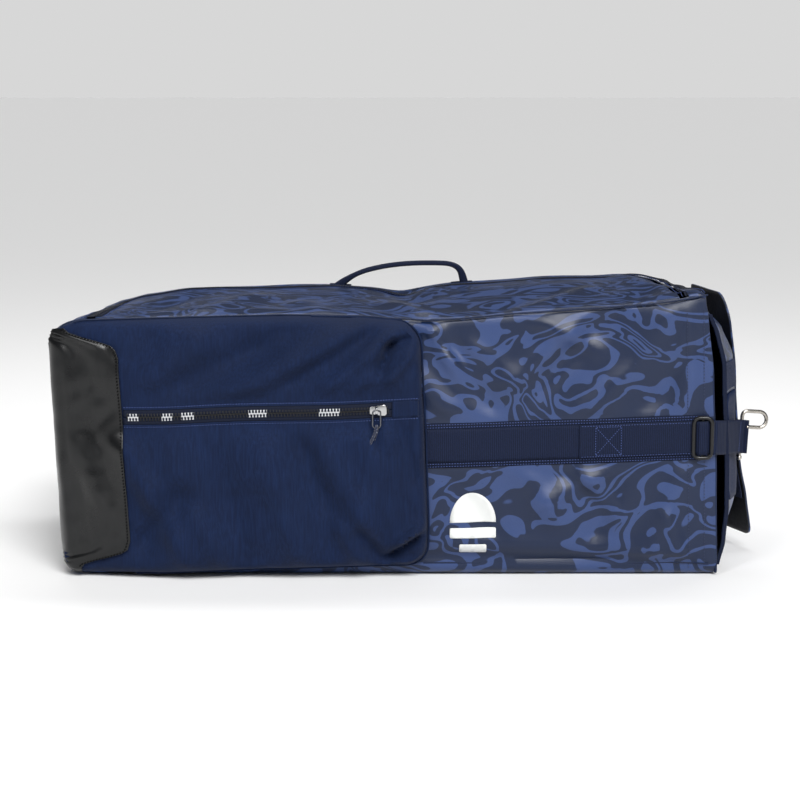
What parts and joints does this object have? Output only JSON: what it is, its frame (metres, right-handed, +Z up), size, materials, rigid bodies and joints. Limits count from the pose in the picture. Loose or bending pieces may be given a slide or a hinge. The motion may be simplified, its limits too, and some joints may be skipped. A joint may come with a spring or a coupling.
{
  "type": "rolling duffel bag",
  "caption": "Rolling duffel bag in patterned coated fabric: zipped side lid, front pocket, adjustable strap with hook, end flap, grab handle, telescopic pull handle and wheels.",
  "frame": {"origin": "middle of the flat side that the bag rests on", "axes": "+X from the wheel end to the mouth end, +Y from the pocket side to the trolley side, +Z up"},
  "size_m": [0.8105, 0.3625, 0.3244],
  "materials": {
    "pattern_tarpaulin": "glossy coated tarpaulin, printed in two blues",
    "navy_polyester": "matt woven polyester",
    "black_tarpaulin": "satin coated fabric",
    "navy_webbing": "ribbed polyester webbing",
    "zip_tape": "woven tape",
    "zip_teeth": "moulded teeth",
    "silver_metal": "plated zinc",
    "pewter_steel": "dull plated wire",
    "black_plastic": "moulded, fine texture",
    "cord": "braided",
    "white_print": "printed film",
    "navy_rubber": "matt sheet",
    "loop_pile": "looped pile",
    "black_lining": "coated lining",
    "stiffener": "pressed sheet",
    "anodised": "satin anodised",
    "steel": "bright",
    "tyre": "moulded polyurethane"
  },
  "bodies": {
    "bag": {"front_panel": "pattern_tarpaulin", "back_cover": "black_tarpaulin", "lower_side_panel": "pattern_tarpaulin", "base_end_panel": "black_tarpaulin", "mouth_end_panel": "black_lining", "rear_top_strip": "pattern_tarpaulin", "main_zip_body_tape": "zip_tape", "main_zip_body_teeth": "zip_teeth", "end_guard": "black_tarpaulin", "front_badge": "white_print", "front_welts": "navy_polyester", "front_pocket": "navy_polyester", "pocket_zip_tapes": "zip_tape", "pocket_zip_teeth": "zip_teeth", "pocket_zip_garage": "navy_polyester", "strap_base": "navy_webbing", "strap_webbing": "navy_webbing", "strap_tongue": "navy_webbing", "end_slip_pocket": "pattern_tarpaulin", "end_patch": "navy_rubber", "end_loop_tape": "loop_pile", "flap_seam": "navy_webbing", "handle_anchors": "navy_webbing", "frame_sheet": "stiffener", "trolley_foot": "black_plastic", "trolley_head": "black_plastic", "skid_rail_screws": "steel", "outer_tubes": "anodised", "wheel_housing_lower": "black_plastic", "wheel_housing_upper": "black_plastic", "wheel_axles": "steel", "skid_rails": "black_plastic"},
    "lid": {"lid_panel": "pattern_tarpaulin", "main_zip_lid_tape": "zip_tape", "main_zip_lid_teeth": "zip_teeth"},
    "main_zip_runner": {"main_zip_slider": "silver_metal"},
    "main_zip_tab": {"main_zip_pull": "silver_metal"},
    "pocket_zip_runner": {"pocket_zip_slider": "silver_metal"},
    "pocket_zip_ring": {"pocket_zip_pull": "pewter_steel", "pull_cord_left": "cord", "pull_cord_right": "cord"},
    "adjuster": {"strap_adjuster": "black_plastic", "adjuster_webbing": "navy_webbing"},
    "hook": {"g_hook": "pewter_steel"},
    "flap": {"end_flap": "black_lining", "flap_hook_tape": "loop_pile"},
    "handle": {"grab_handle": "navy_webbing"},
    "trolley_mid": {"mid_tubes": "anodised"},
    "trolley_inner": {"inner_tubes": "anodised", "trolley_grip": "black_plastic", "lock_plugs": "black_plastic"},
    "button": {"grip_button": "black_plastic", "release_rods": "steel"},
    "wheel_lower": {"wheel_tyre_lower": "tyre", "wheel_hub_lower": "black_plastic", "wheel_bearings_lower": "steel"},
    "wheel_upper": {"wheel_tyre_upper": "tyre", "wheel_hub_upper": "black_plastic", "wheel_bearings_upper": "steel"}
  },
  "joints": [
    {"name": "lid_hinge", "type": "hinge", "parent": "bag", "child": "lid", "pos_m": [-0.00001, -0.14835, 0.29315], "axis": [0.9994, 0, 0.0358], "range_deg": [0, 160]},
    {"name": "main_zip_slide", "type": "slide", "parent": "lid", "child": "main_zip_runner", "axis": [0, 1, 0], "range_m": [0, 0.18]},
    {"name": "main_zip_tab_hinge", "type": "hinge", "parent": "main_zip_runner", "child": "main_zip_tab", "pos_m": [0.33765, -0.1137, 0.30871], "axis": [1, 0, 0], "range_deg": [0, 115]},
    {"name": "pocket_zip_slide", "type": "slide", "parent": "bag", "child": "pocket_zip_runner", "axis": [0.9995, 0, 0.0314], "range_m": [-0.205, 0]},
    {"name": "pocket_ring_hinge", "type": "hinge", "parent": "pocket_zip_runner", "child": "pocket_zip_ring", "pos_m": [-0.007, -0.1833, 0.1906], "axis": [-1, 0, 0], "range_deg": [0, 150]},
    {"name": "strap_adjust_slide", "type": "slide", "parent": "bag", "child": "adjuster", "axis": [0.9995, 0, 0.0314], "range_m": [-0.06, 0]},
    {"name": "hook_pivot", "type": "hinge", "parent": "bag", "child": "hook", "pos_m": [0.4021, -0.09412, 0.14629], "axis": [0.0687, 0.1171, 0.9907], "range_deg": [-60, 65]},
    {"name": "end_flap_hinge", "type": "hinge", "parent": "bag", "child": "flap", "pos_m": [0.371, 0.092, 0.15], "axis": [0, 0, 1], "range_deg": [0, 60]},
    {"name": "grab_handle_hinge", "type": "hinge", "parent": "bag", "child": "handle", "pos_m": [-0.00009, 0.131, 0.2956], "axis": [0.9994, 0, 0.0358], "range_deg": [-35, 55], "stiffness_Nm_per_rad": 0.05},
    {"name": "trolley_mid_slide", "type": "slide", "parent": "bag", "child": "trolley_mid", "axis": [1, 0, 0], "range_m": [0, 0.18]},
    {"name": "trolley_inner_slide", "type": "slide", "parent": "trolley_mid", "child": "trolley_inner", "axis": [1, 0, 0], "range_m": [0, 0.18]},
    {"name": "button_press", "type": "slide", "parent": "trolley_inner", "child": "button", "axis": [-1, 0, 0], "range_m": [0, 0.0025], "stiffness_N_per_m": 600, "springref_m": -0.003},
    {"name": "wheel_lower_spin", "type": "hinge", "parent": "bag", "child": "wheel_lower", "pos_m": [-0.338, 0.136, 0.066], "axis": [0, 0, 1], "continuous": true},
    {"name": "wheel_upper_spin", "type": "hinge", "parent": "bag", "child": "wheel_upper", "pos_m": [-0.338, 0.136, 0.224], "axis": [0, 0, 1], "continuous": true}
  ],
  "couplings": [
    {"joint": "trolley_inner_slide", "follows": "trolley_mid_slide", "ratio": 1}
  ]
}
